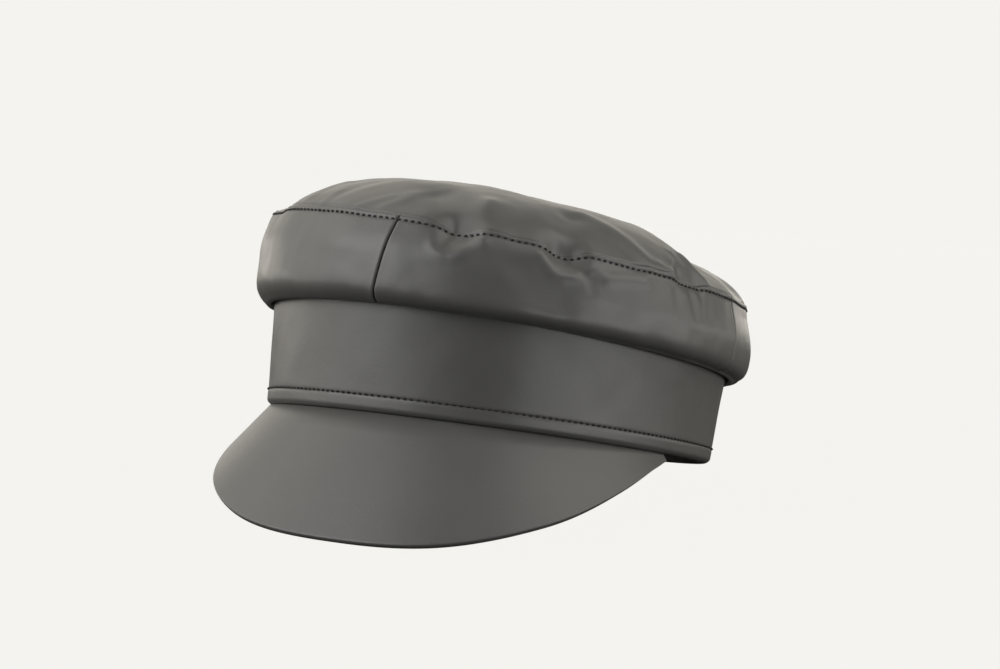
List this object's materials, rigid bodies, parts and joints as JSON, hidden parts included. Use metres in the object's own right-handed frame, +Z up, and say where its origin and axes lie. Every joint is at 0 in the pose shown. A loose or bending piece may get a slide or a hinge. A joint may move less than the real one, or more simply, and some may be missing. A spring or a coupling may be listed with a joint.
{
  "type": "leather fisherman cap",
  "caption": "Leather fisherman cap: a full soft crown over a tall stiff band, with a short sloping peak. It rests on its peak's edge and the back of its band.",
  "frame": {"origin": "on the surface that the cap rests on, under the middle of its box", "axes": "+Z up, -Y towards the front, where the peak is, +X towards the wearer's left; the cap's own axis leans back by about 12 degrees, because it rests on the edge of its peak and the back of its band"},
  "size_m": [0.1948, 0.2586, 0.1244],
  "materials": {
    "crown_leather": "smooth soft grey leather, satin",
    "band_leather": "smooth grey leather over a stiff band, satin",
    "peak_leather": "smooth grey leather stretched over board, satin"
  },
  "bodies": {
    "root": {"band": "band_leather", "peak": "peak_leather", "crown_top": "crown_leather", "crown_side_front_left": "crown_leather", "crown_side_back_left": "crown_leather", "crown_side_back_right": "crown_leather", "crown_side_front_right": "crown_leather"}
  },
  "joints": []
}
